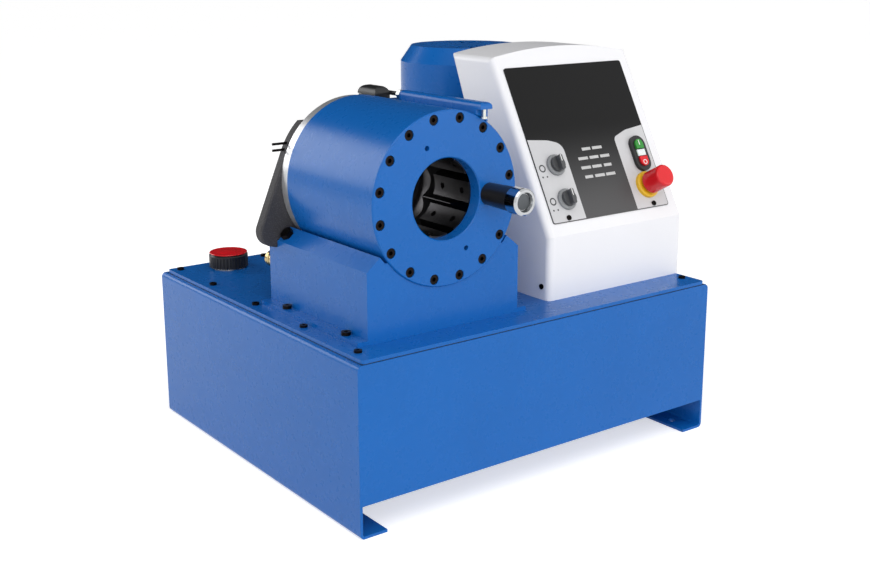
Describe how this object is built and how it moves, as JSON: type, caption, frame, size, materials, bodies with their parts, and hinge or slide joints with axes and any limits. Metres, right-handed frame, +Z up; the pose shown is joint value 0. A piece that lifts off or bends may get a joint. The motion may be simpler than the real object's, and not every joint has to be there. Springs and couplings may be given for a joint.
{
  "type": "hose crimping machine",
  "caption": "Bench hose crimper: oil tank base, round crimping head with sliding jaws, motor and sloped control console.",
  "frame": {"origin": "on the floor plane, at the centre of the four anchor holes in the tank's feet", "axes": "+Z up, -Y towards the operator, +X to the operator's right"},
  "size_m": [0.652, 0.6253, 0.599],
  "materials": {
    "blue_paint": "gloss",
    "black_steel": "satin",
    "tool_steel": "satin",
    "bright_steel": "satin",
    "dark_paint": "textured",
    "chrome": "polished",
    "brass": "satin",
    "white_paint": "gloss",
    "grey_paint": "satin",
    "aluminium": "satin",
    "black_plastic": "matte",
    "panel_plastic": "gloss",
    "red_plastic": "gloss",
    "green_plastic": "gloss",
    "yellow_plastic": "gloss",
    "white_lens": "gloss",
    "clear_plastic": "gloss",
    "rubber": "matte"
  },
  "bodies": {
    "machine": {"tank_shell": "blue_paint", "lid_gasket": "rubber", "tank_lid": "blue_paint", "lid_screws": "black_steel", "drain_plug": "bright_steel", "level_gauge": "clear_plastic", "filler_neck": "bright_steel", "cradle": "blue_paint", "cradle_screws": "black_steel", "brass_coupling": "brass", "pressure_tubes": "bright_steel", "head_housing": "blue_paint", "front_ring": "blue_paint", "head_bolts": "black_steel", "rear_flange": "bright_steel", "rod_seal": "rubber", "rear_plate": "dark_paint", "rear_screws": "black_steel", "edge_pins": "black_steel", "stop_rail": "blue_paint", "stop_nut": "bright_steel", "limit_switch": "black_plastic", "rail_screw": "bright_steel", "knob_stem": "black_plastic", "motor_flange": "grey_paint", "motor_housing": "grey_paint", "fan_cowl": "blue_paint", "terminal_box": "grey_paint", "pump_body": "aluminium", "suction_strainer": "bright_steel", "console_shell": "white_paint", "console_frame": "bright_steel", "console_back_cover": "white_paint", "cable_gland": "black_plastic", "control_panel": "panel_plastic", "selector_bezels": "black_plastic", "button_surround": "black_plastic", "lamp_lens": "white_lens", "estop_collar": "yellow_plastic", "hex_bolts": "bright_steel", "small_screws": "black_steel"},
    "piston": {"piston": "tool_steel", "piston_seal": "rubber"},
    "rotor": {"motor_shaft": "tool_steel", "cooling_fan": "black_plastic"},
    "selector_low": {"selector_dial_low": "black_plastic"},
    "selector_high": {"selector_dial_high": "black_plastic"},
    "start": {"start_button": "green_plastic"},
    "stop": {"stop_button": "red_plastic"},
    "emergency_stop": {"estop_cap": "red_plastic"},
    "filler": {"filler_cap": "black_plastic"},
    "knob": {"ring_knob": "chrome"},
    "jaw_1": {"jaw_1": "tool_steel"},
    "jaw_2": {"jaw_2": "tool_steel"},
    "jaw_3": {"jaw_3": "tool_steel"},
    "jaw_4": {"jaw_4": "tool_steel"},
    "jaw_5": {"jaw_5": "tool_steel"},
    "jaw_6": {"jaw_6": "tool_steel"},
    "jaw_7": {"jaw_7": "tool_steel"},
    "jaw_8": {"jaw_8": "tool_steel"}
  },
  "joints": [
    {"name": "piston_slide", "type": "slide", "parent": "machine", "child": "piston", "axis": [0, -1, 0], "range_m": [0, 0.05]},
    {"name": "jaw_1_slide", "type": "slide", "parent": "machine", "child": "jaw_1", "axis": [-1, 0, 0], "range_m": [0, 0.016]},
    {"name": "jaw_2_slide", "type": "slide", "parent": "machine", "child": "jaw_2", "axis": [-0.7071, 0, 0.7071], "range_m": [0, 0.016]},
    {"name": "jaw_3_slide", "type": "slide", "parent": "machine", "child": "jaw_3", "axis": [0, 0, 1], "range_m": [0, 0.016]},
    {"name": "jaw_4_slide", "type": "slide", "parent": "machine", "child": "jaw_4", "axis": [0.7071, 0, 0.7071], "range_m": [0, 0.016]},
    {"name": "jaw_5_slide", "type": "slide", "parent": "machine", "child": "jaw_5", "axis": [1, 0, 0], "range_m": [0, 0.016]},
    {"name": "jaw_6_slide", "type": "slide", "parent": "machine", "child": "jaw_6", "axis": [0.7071, 0, -0.7071], "range_m": [0, 0.016]},
    {"name": "jaw_7_slide", "type": "slide", "parent": "machine", "child": "jaw_7", "axis": [0, 0, -1], "range_m": [0, 0.016]},
    {"name": "jaw_8_slide", "type": "slide", "parent": "machine", "child": "jaw_8", "axis": [-0.7071, 0, -0.7071], "range_m": [0, 0.016]},
    {"name": "rotor_spin", "type": "hinge", "parent": "machine", "child": "rotor", "pos_m": [0.18, 0.14, 0.367], "axis": [0, 0, 1], "continuous": true},
    {"name": "selector_low_turn", "type": "hinge", "parent": "machine", "child": "selector_low", "pos_m": [0.099, -0.20445, 0.38444], "axis": [0, -0.8761, 0.4821], "range_deg": [-45, 45]},
    {"name": "selector_high_turn", "type": "hinge", "parent": "machine", "child": "selector_high", "pos_m": [0.099, -0.17842, 0.43175], "axis": [0, -0.8761, 0.4821], "range_deg": [-45, 45]},
    {"name": "start_press", "type": "slide", "parent": "machine", "child": "start", "axis": [0, 0.8761, -0.4821], "range_m": [0, 0.003], "stiffness_N_per_m": 700, "springref_m": -0.001},
    {"name": "stop_press", "type": "slide", "parent": "machine", "child": "stop", "axis": [0, 0.8761, -0.4821], "range_m": [0, 0.003], "stiffness_N_per_m": 700, "springref_m": -0.001},
    {"name": "emergency_stop_press", "type": "slide", "parent": "machine", "child": "emergency_stop", "axis": [0, 0.8761, -0.4821], "range_m": [0, 0.004]},
    {"name": "filler_cap_turn", "type": "hinge", "parent": "machine", "child": "filler", "pos_m": [-0.231, 0.238, 0.25], "axis": [0, 0, 1], "range_deg": [0, 90]},
    {"name": "ring_knob_turn", "type": "hinge", "parent": "machine", "child": "knob", "pos_m": [-0.078, -0.3, 0.421], "axis": [0, -1, 0], "continuous": true}
  ],
  "couplings": [
    {"joint": "jaw_1_slide", "follows": "piston_slide", "ratio": 0.32},
    {"joint": "jaw_2_slide", "follows": "piston_slide", "ratio": 0.32},
    {"joint": "jaw_3_slide", "follows": "piston_slide", "ratio": 0.32},
    {"joint": "jaw_4_slide", "follows": "piston_slide", "ratio": 0.32},
    {"joint": "jaw_5_slide", "follows": "piston_slide", "ratio": 0.32},
    {"joint": "jaw_6_slide", "follows": "piston_slide", "ratio": 0.32},
    {"joint": "jaw_7_slide", "follows": "piston_slide", "ratio": 0.32},
    {"joint": "jaw_8_slide", "follows": "piston_slide", "ratio": 0.32}
  ]
}
